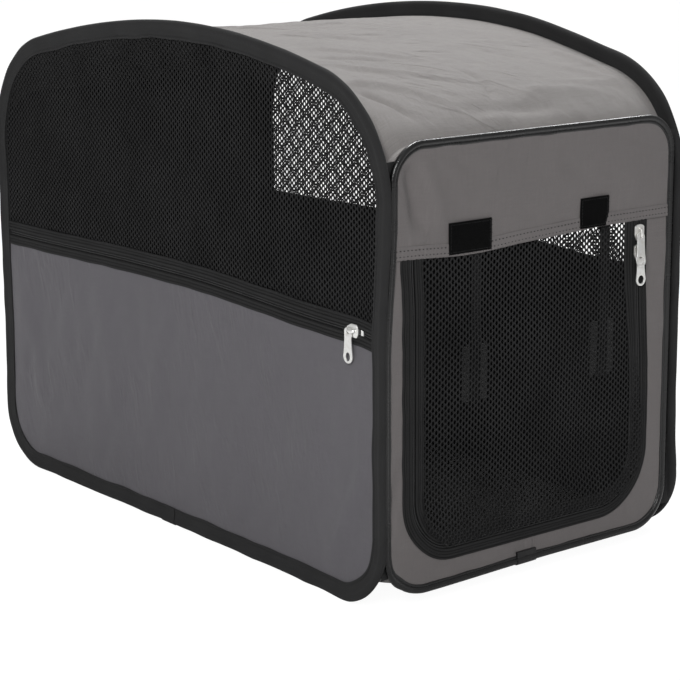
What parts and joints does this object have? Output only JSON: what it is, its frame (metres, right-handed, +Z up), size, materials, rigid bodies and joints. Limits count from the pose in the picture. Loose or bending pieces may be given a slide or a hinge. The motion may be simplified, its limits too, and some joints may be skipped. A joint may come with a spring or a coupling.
{
  "type": "folding dog crate",
  "caption": "Soft-sided pop-up dog crate with arched net-windowed sides, spring wire hoops, a zipped net door and zipped side windows, folding flat as a parallelogram.",
  "frame": {"origin": "centre of the crate on the ground, under the middle of its bounding box", "axes": "+Z up, +Y from the door end to the back end, +X to the right side as seen from the door"},
  "size_m": [0.3374, 0.616, 0.46],
  "materials": {
    "binding": "matt woven webbing, folded and stitched",
    "piping": "glossy soft vinyl piping",
    "net": "knitted polyester net",
    "side_cloth": "matt plain-weave polyester",
    "end_cloth": "matt plain-weave polyester",
    "roof_cloth": "matt plain-weave polyester, creased",
    "tape": "woven tape",
    "coil": "moulded coil",
    "nickel": "bright nickel plate",
    "steel": "plain spring steel",
    "hook": "hook-and-loop pile"
  },
  "bodies": {
    "left_side": {"left_hoop_wire": "steel", "left_wire_ferrule": "steel", "left_binding": "binding", "left_window_net": "net", "left_lower_panel": "side_cloth", "left_lower_tape": "tape", "left_lower_coil": "coil", "left_upper_tape": "tape", "left_upper_coil": "coil", "left_zip_stop": "nickel", "roof_panel": "roof_cloth", "floor_panel": "roof_cloth"},
    "right_side": {"right_hoop_wire": "steel", "right_wire_ferrule": "steel", "right_binding": "binding", "right_window_net": "net", "right_lower_panel": "side_cloth", "right_lower_tape": "tape", "right_lower_coil": "coil", "right_upper_tape": "tape", "right_upper_coil": "coil", "right_zip_stop": "nickel"},
    "front_end": {"front_hoop_wire": "steel", "front_wire_ferrule": "steel", "front_piping": "piping", "front_piping_patch": "piping", "front_panel": "end_cloth", "front_zip_tape": "tape", "front_zip_coil": "coil", "left_hook_square": "hook", "right_hook_square": "hook"},
    "back_end": {"back_hoop_wire": "steel", "back_wire_ferrule": "steel", "back_piping": "piping", "back_piping_patch": "piping", "back_panel": "end_cloth"},
    "door": {"door_net": "net", "door_zip_tape": "tape", "door_zip_coil": "coil"},
    "upper_door_slider": {"upper_door_slider": "nickel"},
    "lower_door_slider": {"lower_door_slider": "nickel"},
    "upper_door_pull": {"upper_door_pull": "nickel"},
    "lower_door_pull": {"lower_door_pull": "nickel"},
    "left_slider": {"left_slider": "nickel"},
    "right_slider": {"right_slider": "nickel"},
    "left_pull": {"left_pull": "nickel"},
    "right_pull": {"right_pull": "nickel"},
    "left_strap": {"left_strap": "tape", "left_strap_pad": "hook"},
    "right_strap": {"right_strap": "tape", "right_strap_pad": "hook"}
  },
  "joints": [
    {"name": "fold", "type": "hinge", "parent": "left_side", "child": "front_end", "pos_m": [-0.15255, -0.2985, 0], "axis": [0, 0, 1], "range_deg": [0, 78], "deforming": ["roof_panel", "floor_panel"]},
    {"name": "fold_back", "type": "hinge", "parent": "left_side", "child": "back_end", "pos_m": [-0.15255, 0.2985, 0], "axis": [0, 0, 1], "range_deg": [0, 78]},
    {"name": "fold_right", "type": "hinge", "parent": "back_end", "child": "right_side", "pos_m": [0.15255, 0.2985, 0], "axis": [0, 0, 1], "range_deg": [-78, 0]},
    {"name": "door_lift", "type": "hinge", "parent": "front_end", "child": "door", "pos_m": [-0.008, -0.3025, 0.289], "axis": [1, 0, 0], "range_deg": [-110, 0]},
    {"name": "lower_door_slide", "type": "slide", "parent": "door", "child": "lower_door_slider", "axis": [0, 0, 1], "range_m": [-0.17, 0]},
    {"name": "upper_door_slide", "type": "slide", "parent": "door", "child": "upper_door_slider", "axis": [0, 0, 1], "range_m": [-0.153, 0]},
    {"name": "lower_door_pull_lift", "type": "hinge", "parent": "lower_door_slider", "child": "lower_door_pull", "pos_m": [0.1205, -0.30285, 0.2645], "axis": [1, 0, 0], "range_deg": [-90, 0]},
    {"name": "upper_door_pull_lift", "type": "hinge", "parent": "upper_door_slider", "child": "upper_door_pull", "pos_m": [0.1205, -0.30285, 0.2815], "axis": [1, 0, 0], "range_deg": [-75, 0]},
    {"name": "left_slide", "type": "slide", "parent": "left_side", "child": "left_slider", "axis": [0, 1, 0], "range_m": [0, 0.504]},
    {"name": "right_slide", "type": "slide", "parent": "right_side", "child": "right_slider", "axis": [0, 1, 0], "range_m": [0, 0.504]},
    {"name": "left_pull_swing", "type": "hinge", "parent": "left_slider", "child": "left_pull", "pos_m": [-0.1664, -0.2567, 0.229], "axis": [1, 0, 0], "range_deg": [-40, 75]},
    {"name": "right_pull_swing", "type": "hinge", "parent": "right_slider", "child": "right_pull", "pos_m": [0.1664, -0.2567, 0.229], "axis": [1, 0, 0], "range_deg": [-40, 75]},
    {"name": "left_strap_swing", "type": "hinge", "parent": "front_end", "child": "left_strap", "pos_m": [-0.067, -0.2978, 0.2923], "axis": [-1, 0, 0], "range_deg": [-70, 0]},
    {"name": "right_strap_swing", "type": "hinge", "parent": "front_end", "child": "right_strap", "pos_m": [0.078, -0.2978, 0.2923], "axis": [-1, 0, 0], "range_deg": [-70, 0]}
  ],
  "couplings": [
    {"joint": "fold_back", "follows": "fold", "ratio": 1},
    {"joint": "fold_right", "follows": "fold", "ratio": -1},
    {"joint": "upper_door_slide", "follows": "lower_door_slide", "ratio": 0.9},
    {"joint": "upper_door_pull_lift", "follows": "lower_door_pull_lift", "ratio": 0.83333}
  ]
}
